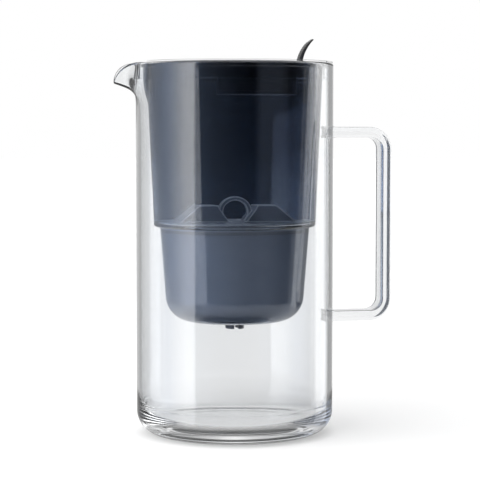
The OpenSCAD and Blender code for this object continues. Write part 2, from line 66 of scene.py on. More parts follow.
# Spout
SPOUT_OUT = 16.0
SPOUT_HALF = math.radians(19)  # half the angle that the spout takes
SPOUT_FINE = math.radians(24)  # half the angle that has the finer mesh
SPOUT_START_Z = 216.0
SPOUT_THINNER = 1.3  # how much thinner the glass gets at the lip of the spout
LIP_IN = 1.35  # the outer face ends this far inside the tip of the lip
LIP_R = 0.5  # rounding of the lip at the tip
LIP_ARC = (229.2, 14.8, 1.3)  # its height follows an arc: centre, radius, and how far out it starts
PULL_LOW = (9, 9.5)  # lengths of the wall curve's handles, at its start and at its end,
PULL_TOP = (9, 3.6)  # each beside the spout and in its middle
PULL_OUT = 0.25  # how far out the upper handle stands, as a part of the reach
# Handle
HANDLE_X = 106.0
HANDLE_TOP = 202.5
HANDLE_BOTTOM = 72.8
HANDLE_BEND = 15.0
STRAP_T = 7.0
STRAP_W = 16.0
STRAP_CORNER = 2.2
ROOT_IN = 1.6  # how far the strap goes into the wall
ROOT_FLARE = 0.5  # how much wider it gets there
ROOT_FADE = 1.6  # and how soon that fades
ROOT_REACH = 12.0  # its end follows the round wall over this length
# Hopper
SHOULDER_Z = 137.0
HOPPER_WALL = 2.2
HOPPER_LOW_R = 53.4
HOPPER_TOP_R = 58.0
HOPPER_RIM_R = 60
HOPPER_RIM_Z = (241, 243)
CUP_Z = 74.5
CUP_ROUND = 17.0
CUP_TOP_R = 49.4
CUP_LOW_R = 45.8
CUP_EASE_Z = 0.5  # the cup's taper starts this far above its rounding,
CUP_EASE_OUT = 0.1  # and this far out from it on the outside,
CUP_EASE_IN = 0.05  # and this far on the inside
CUP_TOP_THINNER = 0.15
OUTLET_R = 6.25
# Thumb tab
TAB_FOOT_Z = 233.5
TAB_CURVE = ((43.9, 244.5), (44.6, 251.0), (48.6, 257.6), (52.9, 260.35))  # Bezier points, (x, z)
TAB_HALF_W = 6.0
TAB_ROUND_Z = 255.0  # its end is round from here up
TAB_T = (2.4, 1.0)  # thickness at the foot and at the tip
TAB_TIP = 0.97  # from here to 1 on the curve the thickness rounds off,
TAB_TIP_CUT = 0.75  # by this much
TAB_EDGE = (0.25, 7)  # its long edges: part of the thickness that stays, power of the rounding
TAB_LEAST = (0.05, 0.3)  # keep the square roots for thickness and width above zero
RIB_SPAN = (0.1, 0.8)  # the part of the curve that has ribs
RIB_SIDE = 0.8  # how far they reach to the sides
RIB_HIGH = 0.24
RIB_PERIOD = 0.07


# ---------------------------------------------------------------- mesh helpers
CREASE = 35  # degrees


def in_scene(name, data):
    ob = bpy.data.objects.new(name, data)
    bpy.context.scene.collection.objects.link(ob)
    return ob


def shade(me, crease):
    """Smooth shading. Edges sharper than crease degrees stay sharp."""
    me.shade_smooth()
    me.set_sharp_from_angle(angle=math.radians(crease))


def new_object(name, verts, faces, crease=CREASE):
    """A smooth-shaded object from points in metres."""
    me = bpy.data.meshes.new(name)
    me.from_pydata([tuple(v) for v in verts], [], faces)
    me.validate()
    bm = bmesh.new()
    bm.from_mesh(me)
    bmesh.ops.recalc_face_normals(bm, faces=bm.faces)
    bm.to_mesh(me)
    bm.free()
    shade(me, crease)
    return in_scene(name, me)


def in_metres(verts):
    return [Vector(v) * MM for v in verts]


def ring_faces(rows, cols, first=0, closed=False):
    """Faces between rows of points that are rings of cols points each. The first point is
    number first. With closed, the last row meets the first one."""
    faces = []
    for j in range(rows if closed else rows - 1):
        lo, hi = first + j * cols, first + (j + 1) % rows * cols
        for k in range(cols):
            beside = (k + 1) % cols
            faces.append((lo + k, lo + beside, hi + beside, hi + k))
    return faces


def lerp(a, b, t):
    return a + (b - a) * t


def bezier_parts(t):
    """How much each of a cubic Bezier curve's four points counts at t."""
    return (1 - t) ** 3, 3 * t * (1 - t) ** 2, 3 * t * t * (1 - t), t ** 3


def arc(cx, cz, r, a0, a1, steps):
    """Points on an arc, angles in degrees."""
    out = []
    for i in range(steps + 1):
        a = math.radians(a0 + (a1 - a0) * i / steps)
        out.append((cx + r * math.cos(a), cz + r * math.sin(a)))
    return out


def rounded(points, steps=5):
    """An open outline of (x, z, radius) points with each corner rounded by its radius. The
    first and last point have radius 0, which leaves them as they are."""
    out = []
    for i, (x, z, r) in enumerate(points):
        if r == 0:
            out.append((x, z))
            continue
        p = Vector((x, z))
        a = Vector(points[i - 1][:2]) - p
        b = Vector(points[i + 1][:2]) - p
        half = a.angle(b) / 2
        almost_half = 0.49  # of a side, so that two roundings never meet
        cut = min(r / math.tan(half), a.length * almost_half, b.length * almost_half)
        r_cut = cut * math.tan(half)
        centre = p + (a.normalized() + b.normalized()).normalized() * (r_cut / math.sin(half))
        start = p + a.normalized() * cut - centre
        end = p + b.normalized() * cut - centre
        turn = start.angle_signed(end)
        for k in range(steps + 1):
            t = -turn * k / steps
            c, s = math.cos(t), math.sin(t)
            out.append((centre.x + start.x * c - start.y * s, centre.y + start.x * s + start.y * c))
    return out


def bake_modifiers(ob):
    """Makes an object's modifiers part of its mesh."""
    dg = bpy.context.evaluated_depsgraph_get()
    me = bpy.data.meshes.new_from_object(ob.evaluated_get(dg))
    ob.modifiers.clear()
    old = ob.data
    ob.data = me
    bpy.data.meshes.remove(old)


def softened(name, width):
    """A copy of a CAD node's shape with its sharp edges rounded by width mm."""
    weld, sliver = 2e-6, 1e-6  # metres
    flat, corner, steps = 0.6, 28, 2  # degrees, degrees, rows of faces in a rounding
    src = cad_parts[name].data
    bm = bmesh.new()
    for v in src.vertices:
        bm.verts.new(v.co)
    bm.verts.ensure_lookup_table()
    for p in src.polygons:
        try:
            bm.faces.new([bm.verts[i] for i in p.vertices])
        except ValueError:  # this face is there already
            pass
    bmesh.ops.remove_doubles(bm, verts=bm.verts, dist=weld)
    bmesh.ops.dissolve_degenerate(bm, dist=sliver, edges=bm.edges)
    bmesh.ops.dissolve_limit(
        bm, angle_limit=math.radians(flat), use_dissolve_boundaries=False, verts=bm.verts, edges=bm.edges
    )
    me = bpy.data.meshes.new(name + "_look")
    bm.to_mesh(me)
    bm.free()
    ob = in_scene(name + "_look", me)
    mod = ob.modifiers.new("edges", "BEVEL")
    mod.width = width * MM
    mod.segments = steps
    mod.limit_method = "ANGLE"
    mod.angle_limit = math.radians(corner)
    mod.miter_outer = "MITER_ARC"
    mod.use_clamp_overlap = True
    bake_modifiers(ob)
    shade(ob.data, corner)
    # Large faces keep their own direction, and only the narrow ones between them blend
    level = ob.modifiers.new("level", "WEIGHTED_NORMAL")
    level.keep_sharp = True
    bake_modifiers(ob)
    return ob


# ---------------------------------------------------------------- shader helpers
NOISE_LOW, NOISE_HIGH = 0.3, 0.7  # noise keeps mostly between these


def grey(v):
    return (v, v, v)


def opaque(colour):
    return (*colour, 1)


def base_material(name, **values):
    """A material, its node tree and its surface, with values set on the surface's sockets."""
    mat = bpy.data.materials.new(name)
    mat.use_nodes = True
    bsdf = mat.node_tree.nodes["Principled BSDF"]
    for key, value in values.items():
        bsdf.inputs[key.replace("_", " ")].default_value = value
    return mat, mat.node_tree, bsdf


def node(nt, kind, at=(0, 0), **props):
    """A new node. The place at is only where the node editor shows it."""
    n = nt.nodes.new(kind)
    n.location = at
    for key, value in props.items():
        setattr(n, key, value)
    return n


def feed(nt, socket, value):
    """Links a socket to another one, or sets it to a number or a colour."""
    if isinstance(value, bpy.types.NodeSocket):
        nt.links.new(value, socket)
    else:
        socket.default_value = value


def maths(nt, operation, a, b):
    n = node(nt, "ShaderNodeMath", (0, 600), operation=operation)
    feed(nt, n.inputs[0], a)
    feed(nt, n.inputs[1], b)
    return n.outputs[0]


def map_range(nt, value, start, end, at, to=(0.0, 1.0), **props):
    """Maps a value from start and end to the two numbers of to."""
    n = node(nt, "ShaderNodeMapRange", at, **props)
    for key, number in zip(("From Min", "From Max", "To Min", "To Max"), (start, end, *to)):
        n.inputs[key].default_value = number
    feed(nt, n.inputs["Value"], value)
    return n.outputs["Result"]


def mixed(nt, factor, a, b, at, blend="MIX"):
    """The mix of two colours."""
    n = node(nt, "ShaderNodeMix", at, data_type="RGBA", blend_type=blend)
    for key, value in (("Factor", factor), ("A", a), ("B", b)):
        feed(nt, n.inputs[key], value)
    return n.outputs["Result"]


def ramp(nt, stops, source):
    """Colours over a value from 0 to 1: stops are (position, colour)."""
    n = node(nt, "ShaderNodeValToRGB", (-600, 0))
    els = n.color_ramp.elements
    els[0].position, els[1].position = stops[0][0], stops[-1][0]
    els[0].color, els[1].color = opaque(stops[0][1]), opaque(stops[-1][1])
    for pos, colour in stops[1:-1]:
        els.new(pos).color = opaque(colour)
    nt.links.new(source, n.inputs["Fac"])
    return n.outputs["Color"]


def over_noise(nt, dark, light, noise):
    """A colour that wanders between two others."""
    return ramp(nt, [(NOISE_LOW, dark), (NOISE_HIGH, light)], noise)


def texture(nt, kind, scale, **values):
    """A texture over the object's own coordinates, in metres."""
    co = node(nt, "ShaderNodeTexCoord", (-1100, 0))
    tex = node(nt, kind, (-900, 0))
    nt.links.new(co.outputs["Object"], tex.inputs["Vector"])
    for key, value in {"Scale": scale, **values}.items():
        tex.inputs[key].default_value = value
    return tex.outputs[0]


def noise_at(nt, scale, detail):
    return texture(nt, "ShaderNodeTexNoise", scale, Detail=detail, Roughness=0.55)


def vary_roughness(nt, bsdf, noise, rough):
    """Lets the surface's roughness wander between the two numbers of rough."""
    wander = map_range(nt, noise, NOISE_LOW, NOISE_HIGH, (-350, -300), to=rough)
    nt.links.new(wander, bsdf.inputs["Roughness"])


def bumps(nt, bsdf, height, strength, depth):
    """Fine bumps of a depth in mm."""
    b = node(nt, "ShaderNodeBump", (-350, -600))
    b.inputs["Strength"].default_value = strength
    b.inputs["Distance"].default_value = depth * MM
    nt.links.new(height, b.inputs["Height"])
    nt.links.new(b.outputs["Normal"], bsdf.inputs["Normal"])


# ---------------------------------------------------------------- materials
def glass_material():
    """Clear glass, greyer where the wall is seen along its length: a little of that is the longer way
    through the glass, the rest is painted shade at its edges.
    """
    along, along_from = (0.72, 0.74, 0.76), 0.45
    mat, nt, bsdf = base_material("clear glass", Transmission_Weight=1.0, IOR=1.5)
    flow = noise_at(nt, 14, 2.0)
    tint = over_noise(nt, (0.915, 0.923, 0.929), (0.935, 0.941, 0.946), flow)
    # Painted shade: the glass greys towards its edges as seen, more than its longer path there gives
    view = node(nt, "ShaderNodeLayerWeight", (-900, 500))
    view.inputs["Blend"].default_value = 0.5
    part = map_range(nt, view.outputs["Facing"], along_from, 1.0, (-700, 500))
    colour = mixed(nt, part, tint, opaque(along), (-200, 100))
    nt.links.new(colour, bsdf.inputs["Base Color"])
    vary_roughness(nt, bsdf, flow, (0.0, 0.012))
    return mat


def smoked_material(name, stops, weight=1.0, ior=1.5, rough=(0.02, 0.05), painted_far_shade=None):
    """Smoked clear plastic, whose tint changes with height: stops are (z in mm, colour). On the
    hopper those changes are painted light and shade. A far-side colour, when given, also dims
    what shows straight through from the piece's far side: painted shade."""
    mat, nt, bsdf = base_material(name, Transmission_Weight=weight, IOR=ior)
    grain = noise_at(nt, 60, 3.0)
    co = node(nt, "ShaderNodeTexCoord", (-1500, 300))
    sep = node(nt, "ShaderNodeSeparateXYZ", (-1300, 300))
    nt.links.new(co.outputs["Object"], sep.inputs["Vector"])
    lo, hi = stops[0][0], stops[-1][0]
    height = map_range(nt, sep.outputs["Z"], lo * MM, hi * MM, (-1100, 300))
    # Tint by height; on the hopper it paints light and shade over one plastic
    tint = ramp(nt, [((z - lo) / (hi - lo), c) for z, c in stops], height)
    mottle = over_noise(nt, grey(0.96), grey(1.0), grain)
    colour = mixed(nt, 1.0, tint, mottle, (-200, 100), blend="MULTIPLY")
    # Painted shade: what shows straight through from the far side is dimmed
    if painted_far_shade:
        lp = node(nt, "ShaderNodeLightPath", (-900, 700))
        geo = node(nt, "ShaderNodeNewGeometry", (-900, 500))
        bounces = maths(nt, "ADD", lp.outputs["Diffuse Depth"], lp.outputs["Glossy Depth"])
        seen = maths(nt, "LESS_THAN", bounces, 0.5)
        far_shade_mask = maths(nt, "MULTIPLY", seen, geo.outputs["Backfacing"])
        colour = mixed(nt, far_shade_mask, colour, opaque(painted_far_shade), (0, 300), blend="MULTIPLY")
    nt.links.new(colour, bsdf.inputs["Base Color"])
    vary_roughness(nt, bsdf, grain, rough)
    return mat


def plastic_material(name, dark, light, rough, ior=1.46, grain=900, depth=0.02, **values):
    """Moulded plastic: faint mottling in the colour, fine texture in the surface."""
    mat, nt, bsdf = base_material(name, IOR=ior, **values)
    cloud = noise_at(nt, 70, 4.0)
    nt.links.new(over_noise(nt, dark, light, cloud), bsdf.inputs["Base Color"])
    vary_roughness(nt, bsdf, cloud, rough)
    bumps(nt, bsdf, noise_at(nt, grain, 2.0), 0.35, depth)
    return mat


def paint_edge_highlight(mat, colour, radius):
    """Paints a highlight on the piece's edges: blends a material's colour to a lighter one within
    radius mm of them. It starts where the direction smoothed over that radius is off the
    surface's own one."""
    starts, full = 0.99, 0.9  # cosines of the angle between the two
    nt = mat.node_tree
    base = nt.nodes["Principled BSDF"].inputs["Base Color"]
    soft = node(nt, "ShaderNodeBevel", (-900, 700), samples=8)
    soft.inputs["Radius"].default_value = radius * MM
    geo = node(nt, "ShaderNodeNewGeometry", (-900, 500))
    same = node(nt, "ShaderNodeVectorMath", (-700, 600), operation="DOT_PRODUCT")
    nt.links.new(soft.outputs["Normal"], same.inputs[0])
    nt.links.new(geo.outputs["Normal"], same.inputs[1])
    part = map_range(nt, same.outputs["Value"], starts, full, (-500, 600))
    nt.links.new(mixed(nt, part, base.links[0].from_socket, opaque(colour), (-200, 300)), base)


def granule_material(name, stops, size, rough):
    """Packed granules or beads of a size in mm."""
    mat, nt, bsdf = base_material(name)
    cells = texture(nt, "ShaderNodeTexVoronoi", 1 / (size * MM))
    nt.links.new(ramp(nt, stops, cells), bsdf.inputs["Base Color"])
    vary_roughness(nt, bsdf, cells, rough)
    bumps(nt, bsdf, cells, 0.8, size * 0.4)
    return mat


def steel_material():
    mat, nt, bsdf = base_material("steel", Metallic=1.0)
    lines = noise_at(nt, 240, 5.0)
    tint = over_noise(nt, (0.56, 0.57, 0.58), (0.7, 0.7, 0.71), lines)
    nt.links.new(tint, bsdf.inputs["Base Color"])
    vary_roughness(nt, bsdf, lines, (0.18, 0.34))
    bumps(nt, bsdf, lines, 0.2, 0.01)
    return mat


SMOKE = (0.13, 0.15, 0.20)
# One smoked plastic: the darker funnel and the lighter shoulder and cup are painted shade and light
HOPPER_TINT_AND_SHADE = [
    (70, (0.58, 0.63, 0.72)), (134, (0.56, 0.61, 0.70)), (139, (0.70, 0.76, 0.86)),
    (166, (0.66, 0.72, 0.82)), (190, (0.46, 0.51, 0.61)), (245, (0.44, 0.49, 0.59)),
]
# The photo's highlights are stronger or weaker than a plastic's usual IOR gives, so it is tuned
M = {
    "glass": glass_material(),
    "hopper": smoked_material("smoked hopper", HOPPER_TINT_AND_SHADE, ior=1.36),
    # The hopper's outside faces, which carry the painted shade on its far side
    "hopper outside with painted shade": smoked_material(
        "smoked hopper outside with painted shade", HOPPER_TINT_AND_SHADE, painted_far_shade=(0.00015, 0.00035, 0.0009)
    ),
    "smoke": smoked_material("smoked lid", [(200, SMOKE), (250, SMOKE)], weight=0.98),
    "collar": smoked_material(
        "clear silicone", [(200, grey(0.97)), (250, grey(0.985))], ior=1.02, rough=(0.0, 0.02)
    ),
    "black": plastic_material(
        "black gloss", grey(0.004), grey(0.008), (0.14, 0.24), ior=1.3, grain=1200, depth=0.006
    ),
    "dark": plastic_material(
        "dark satin", (0.018, 0.021, 0.030), (0.023, 0.027, 0.038), (0.38, 0.5), ior=1.15
    ),
    "nozzle": plastic_material(
        "nozzle satin", (0.09, 0.10, 0.13), (0.12, 0.13, 0.16), (0.25, 0.4)
    ),
    "white": plastic_material(
        "casing satin", (0.60, 0.65, 0.74), (0.63, 0.68, 0.765), (0.3, 0.36), ior=2.0
    ),
    "grey": plastic_material(
        "pale grey satin", (0.43, 0.47, 0.53), (0.5, 0.54, 0.6), (0.35, 0.48)
    ),
    "cap": plastic_material(
        "cap satin with painted edge highlight", (0.22, 0.24, 0.28), (0.26, 0.28, 0.32), (0.34, 0.45), ior=1.4
    ),
    "seal": plastic_material(
        "pale silicone seal", grey(0.5), grey(0.6), (0.4, 0.5), grain=1500
    ),
    "rubber": plastic_material("dark rubber", grey(0.02), grey(0.035), (0.6, 0.75), grain=1500),
    "dome": plastic_material("pale silicone", grey(0.7), (0.78, 0.78, 0.77), (0.4, 0.55)),
    "carbon": granule_material(
        "carbon granules", [(0.0, grey(0.03)), (0.6, grey(0.006))], 1.1, (0.5, 0.8)
    ),
    "resin": granule_material(
        "resin beads", [(0.0, (0.8, 0.58, 0.24)), (0.7, (0.42, 0.26, 0.08))], 0.8, (0.2, 0.5)
    ),
    "sieve": granule_material(
        "sieve cloth", [(0.0, grey(0.8)), (0.7, grey(0.5))], 0.5, (0.6, 0.8)
    ),
    "steel": steel_material(),
    "board": plastic_material(
        "board lacquer", (0.02, 0.16, 0.07), (0.03, 0.22, 0.1), (0.25, 0.4), grain=500
    ),
    "lens": plastic_material(
        "lens", (0.8, 0.88, 0.84), (0.88, 0.94, 0.9), (0.05, 0.12), Transmission_Weight=0.6
    ),
}
# Painted highlight on the cap's edges
paint_edge_highlight(M["cap"], (0.97, 0.98, 1.0), 1.7)


def place(piece, body, nodes, slot, *materials):
    """Gives a piece its looks, hangs it on the body it rides on, and hides the CAD nodes it stands for.
    """
    slots = piece.data.materials
    while len(slots) < len(materials):
        slots.append(None)
    for i, material in enumerate(materials):
        slots[i] = M[material]
    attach(piece, body)
    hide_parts(*nodes)


# ---------------------------------------------------------------- glass jug with its handle
def spout_reach_at(angle):
    """How far the lip stands out at an angle from the middle of the spout, in mm."""
    u = min(abs(angle) / SPOUT_HALF, 1.0)
    return SPOUT_OUT * (0.5 + 0.5 * math.cos(math.pi * u))


def jug_mesh():
    """One closed skin. Its rows go from the underside's middle up the outside, over the rim and
    down the inside to the floor's middle."""
    n_fine, n_rest = 112, 208  # points round the spout and round the rest
    n_low, n_high = 14, 26  # rows below the spout and in it
    n_rim, n_foot, n_well = 10, 18, 28  # steps in the rounding of rim, foot and well
    fine = SPOUT_FINE
    angles = [math.pi - fine + 2 * fine * i / n_fine for i in range(n_fine)]
    angles += [math.pi + fine + (TAU - 2 * fine) * i / n_rest for i in range(n_rest)]
    low = [FOOT_R + (SPOUT_START_Z - FOOT_R) * i / n_low for i in range(n_low)]
    rows, cols = n_low + n_high + 1, len(angles)
    arc_z, arc_r, arc_start = LIP_ARC
    wall = np.zeros((cols, rows, 3))
    thick = np.full((cols, rows, 1), WALL)
    for i, a in enumerate(angles):
        reach = spout_reach_at(a - math.pi)
        w = reach / SPOUT_OUT
        x_end = reach * (SPOUT_OUT - LIP_IN) / SPOUT_OUT
        z_end = arc_z + math.sqrt(arc_r ** 2 - max(0.0, reach - arc_start) ** 2)
        z_end -= lerp(RIM_R, LIP_R, w)
        curve = [
            (0, SPOUT_START_Z), (0, SPOUT_START_Z + lerp(*PULL_LOW, w)),
            (PULL_OUT * x_end, z_end - lerp(*PULL_TOP, w)), (x_end, z_end),
        ]
        for j, z in enumerate(low):
            wall[i, j] = (JUG_R * math.cos(a), JUG_R * math.sin(a), z)
        for k in range(n_high + 1):
            parts = bezier_parts(k / n_high)
            out = sum(c * q[0] for c, q in zip(parts, curve))
            z = sum(c * q[1] for c, q in zip(parts, curve))
            wall[i, n_low + k] = ((JUG_R + out) * math.cos(a), (JUG_R + out) * math.sin(a), z)
            thick[i, n_low + k] = WALL - SPOUT_THINNER * w * (k + 1) / (n_high + 1)
    across = np.roll(wall, -1, 0) - np.roll(wall, 1, 0)
    up = np.gradient(wall, axis=1)
    normal = np.cross(across, up)
    normal /= np.linalg.norm(normal, axis=2, keepdims=True)
    up /= np.linalg.norm(up, axis=2, keepdims=True)
    inside = wall - normal * thick
    half = thick[:, -1] / 2
    mid = wall[:, -1] - normal[:, -1] * half

    def level_row(r, z):
        return [(r * math.cos(a), r * math.sin(a), z) for a in angles]

    skin = [level_row(r, PUNT * part) for r, part in PUNT_CURVE] + [level_row(*PUNT_EDGE)]
    skin += [level_row(r, z) for r, z in arc(JUG_R - FOOT_R, FOOT_R, FOOT_R, FOOT_START, 0, n_foot)[:-1]]
    skin += [wall[:, j] for j in range(rows)]
    for k in range(1, n_rim):
        a = math.pi * k / n_rim
        skin.append(mid + half * (math.cos(a) * normal[:, -1] + math.sin(a) * up[:, -1]))
    skin += [inside[:, j] for j in range(rows - 1, -1, -1) if inside[0, j, 2] > WELL_Z + WELL_CLEAR]
    in_r = JUG_R - WALL
    skin += [level_row(in_r - r, WELL_Z + z) for r, z in WELL_LEAD]
    for k in range(n_well + 1):
        t = math.pi / 2 * k / n_well
        skin.append(level_row(
            in_r - WELL_STEP - WELL_IN * (1 - math.cos(t)),
            WELL_Z - (WELL_Z - FLOOR_T) * math.sin(t),
        ))
    skin += [level_row(r, FLOOR_T - dip) for r, dip in FLOOR_DIP]

    lowest = FLOOR_T - FLOOR_DIP[-1][1]
    verts = [(0, 0, PUNT)] + [tuple(v) for row in skin for v in row] + [(0, 0, lowest)]
    faces = ring_faces(len(skin), cols, first=1)
    last = 1 + (len(skin) - 1) * cols
    for k in range(cols):
        beside = (k + 1) % cols
        faces.append((0, 1 + beside, 1 + k))
        faces.append((len(verts) - 1, last + k, last + beside))
    return new_object("jug_glass", in_metres(verts), faces)


def handle_mesh():
    """A flat strap with rounded corners, which flares a little where it meets the wall."""
    n_arm, n_bend, n_back, n_corner = 16, 14, 12, 6  # steps along each part
    half_t, half_w = STRAP_T / 2, STRAP_W / 2
    section = []
    for cx, cy, a0 in ((1, 1, 0), (-1, 1, 90), (-1, -1, 180), (1, -1, 270)):
        for x, y in arc(0, 0, STRAP_CORNER, a0, a0 + 90, n_corner):
            section.append((cx * (half_t - STRAP_CORNER) + x, cy * (half_w - STRAP_CORNER) + y))
    bend = HANDLE_BEND - half_t
    top, low, out = HANDLE_TOP - half_t, HANDLE_BOTTOM + half_t, HANDLE_X - half_t
    closer = 1.4  # the steps get closer towards the wall
    arm = [lerp(JUG_R - ROOT_IN, out - bend, (k / n_arm) ** closer) for k in range(n_arm)]
    path = [(x, top) for x in arm]
    path += arc(out - bend, top - bend, bend, 90, 0, n_bend)
    path += [(out, lerp(top - bend, low + bend, k / n_back)) for k in range(1, n_back)]
    path += arc(out - bend, low + bend, bend, 0, -90, n_bend)
    path += [(x, low) for x in reversed(arm)]
    verts = []
    n, m = len(path), len(section)
    for i, (x, z) in enumerate(path):
        x0, z0 = path[max(i - 1, 0)]
        x1, z1 = path[min(i + 1, n - 1)]
        t = Vector((x1 - x0, z1 - z0)).normalized()
        side = Vector((-t.y, t.x))
        away = max(0.0, x - JUG_R)
        flare = ROOT_FLARE * math.exp(-(away / ROOT_FADE) ** 2)
        near = 1 - min(away / ROOT_REACH, 1)
        for u, v in section:
            u += flare * u / half_t
            v += flare * v / half_w
            hollow = (math.sqrt(JUG_R ** 2 - v ** 2) - JUG_R) * near
            verts.append((x + side.x * u + hollow, v, z + side.y * u))
    faces = ring_faces(n, m)
    for base in (0, (n - 1) * m):
        ring = verts[base:base + m]
        faces += [(base + k, base + (k + 1) % m, len(verts)) for k in range(m)]
        verts.append(tuple(sum(v[i] for v in ring) / m for i in range(3)))
    return new_object("handle_glass", in_metres(verts), faces)


jug = jug_mesh()
handle = handle_mesh()
joined = jug.modifiers.new("handle", "BOOLEAN")
joined.operation = "UNION"
joined.solver = "EXACT"
joined.object = handle
bake_modifiers(jug)
bpy.data.objects.remove(handle)
shade(jug.data, CREASE)
place(jug, "jug", ["glass_jug", "glass_handle"], "clear_glass", "glass")


# ---------------------------------------------------------------- hopper
def hopper_mesh():
    """A shell turned about the axis. Its outside takes the second material."""
    segments = 224  # round the axis
    n_out, n_in = 20, 18  # steps in the cup's outer and inner rounding
    t = HOPPER_WALL
    rim_low, rim_top = HOPPER_RIM_Z
    flat = CUP_LOW_R - CUP_ROUND
    round_z = CUP_Z + CUP_ROUND
    taper_z = round_z + CUP_EASE_Z
    outline = (
        [(OUTLET_R, CUP_Z)] + arc(flat, round_z, CUP_ROUND, -90, 0, n_out)
        + rounded([
            (CUP_LOW_R + CUP_EASE_OUT, taper_z, 0), (CUP_TOP_R, SHOULDER_Z, 0.8),
            (HOPPER_LOW_R, SHOULDER_Z, 3.2), (HOPPER_TOP_R, rim_low, 0.4),
            (HOPPER_RIM_R, rim_low, 0.3), (HOPPER_RIM_R, rim_top, 0.6),
            (HOPPER_TOP_R - t, rim_top, 0.5), (HOPPER_LOW_R - t, SHOULDER_Z + t, 2.0),
            (CUP_TOP_R - t + CUP_TOP_THINNER, SHOULDER_Z + t, 0.6),
            (CUP_LOW_R - t + CUP_EASE_IN, taper_z, 0),
        ])
        + arc(flat, round_z, CUP_ROUND - t, 0, -90, n_in) + [(OUTLET_R, CUP_Z + t)]
    )
    verts = []
    for r, z in outline:
        for k in range(segments):
            a = TAU * k / segments
            verts.append((r * math.cos(a) * MM, r * math.sin(a) * MM, z * MM))
    faces = ring_faces(len(outline), segments, closed=True)
    ob = new_object("hopper_look", verts, faces, crease=50)
    aside, down = 1e-5, -0.5  # limits beyond which a face looks away from the axis, or down
    for face in ob.data.polygons:
        outward = face.normal.x * face.center.x + face.normal.y * face.center.y
        if outward > aside or face.normal.z < down:
            face.material_index = 1
    return ob


place(hopper_mesh(), "hopper", ["hopper"], "smoked_plastic", "hopper", "hopper outside with painted shade")

# ---------------------------------------------------------------- the other pieces
for name, body, slot, material, width in (
    ("rim_collar", "hopper", "clear_silicone", "collar", 0.2),
    ("outlet_nozzle", "hopper", "dark_plastic", "nozzle", 0.15),
    ("cartridge_shell", "cartridge", "white_plastic", "white", 0.2),
    ("cartridge_cap", "cartridge", "grey_plastic", "cap", 0.5),
    ("lid_frame", "lid", "smoked_plastic", "smoke", 0.25),
    ("lid_flap", "flap", "smoked_plastic", "smoke", 0.25),
    ("indicator_housing", "flap", "dark_plastic", "dark", 0.3),
    ("indicator_cover", "flap", "dark_plastic", "dark", 0.3),
    ("indicator_button", "button", "grey_plastic", "grey", 0.25),
    ("indicator_lens", "flap", "lens", "lens", 0.15),
):
    place(softened(name, width), body, [name], slot, material)


# ---------------------------------------------------------------- thumb tab
def tab_mesh():
    """A curved tapering plate with a round top and low ribs on the side that the thumb presses."""
    n_foot, n_curve, n_side = 8, 90, 12  # steps along the foot, along the curve and across
    a, b, c, d = (Vector(v) for v in TAB_CURVE)
    line = []
    for k in range(n_foot):
        line.append((Vector((a.x, lerp(TAB_FOOT_Z, a.y, k / n_foot))), Vector((0, 1)), 0.0))
    for k in range(n_curve + 1):
        t = k / n_curve
        parts = bezier_parts(t)
        at = a * parts[0] + b * parts[1] + c * parts[2] + d * parts[3]
        way = (b - a) * (1 - t) ** 2 + (c - b) * 2 * t * (1 - t) + (d - c) * t * t
        line.append((at, way.normalized(), t))
    rib_from, rib_to = RIB_SPAN
    edge, power = TAB_EDGE
    least_thick, least_wide = TAB_LEAST
    verts = []
    for at, way, t in line:
        thick = lerp(*TAB_T, t) / 2
        if t > TAB_TIP:
            near_end = (t - TAB_TIP) / (1 - TAB_TIP)
            thick *= math.sqrt(max(least_thick, 1 - near_end ** 2 * TAB_TIP_CUT))
        width = TAB_HALF_W
        if at.y > TAB_ROUND_Z:
            width = math.sqrt(max(least_wide, TAB_HALF_W ** 2 - (at.y - TAB_ROUND_Z) ** 2))
        out = Vector((-way.y, way.x))
        for side in (1, -1):
            for k in range(n_side + 1):
                v = side * math.cos(math.pi * k / n_side)
                u = side * thick * lerp(edge, 1, 1 - abs(v) ** power)
                if side > 0 and rib_from < t < rib_to and abs(v) < RIB_SIDE:
                    u += RIB_HIGH * (0.5 + 0.5 * math.cos(TAU * (t - rib_from) / RIB_PERIOD + math.pi))
                verts.append((at.x + out.x * u, v * width, at.y + out.y * u))
    m = 2 * (n_side + 1)
    faces = ring_faces(len(line), m)
    faces += [tuple(range(m)), tuple(range(len(verts) - m, len(verts)))]
    return new_object("thumb_tab_look", in_metres(verts), faces, crease=50)


place(tab_mesh(), "flap", ["thumb_tab"], "black_plastic", "black")

# The dome is soft and gives way under the button; here it gets a mesh of its own
dome = softened("button_dome", 0.1)
place(dome, "flap", ["button_dome"], "clear_silicone", "dome")
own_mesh(dome)

# These keep the CAD's mesh
for name, material in (
    ("cartridge_seal", "seal"), ("inlet_sieve", "sieve"), ("carbon_bed", "carbon"),
    ("resin_bed", "resin"), ("outlet_sieve", "sieve"), ("hinge_pins", "steel"),
    ("indicator_board", "board"), ("indicator_cell", "steel"),
    ("indicator_seal", "rubber"), ("cover_screws", "steel"),
):
    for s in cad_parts[name].material_slots:
        s.material = M[material]

# ---------------------------------------------------------------- floor
FLOOR_FAR = 9.0  # m
FLOOR_SIDES = 96
PAINTED_UNDER_JUG = (JUG_R + 5, JUG_R - 15)  # from the open floor to the floor under the jug, with its painted shade and light, in mm
FLOOR_GREY_AND_SHADE = (0.6, 0.25)  # the floor's own colour in the open, and darker under the jug: painted shade
FLOOR_GLOW = 0.42  # added where it shows
THROUGH_LESS = 0.12  # less than that where it shows through clear pieces
FOOT_PAINTED_LIGHT = 0.45  # but this much more where it shows through the foot: painted light


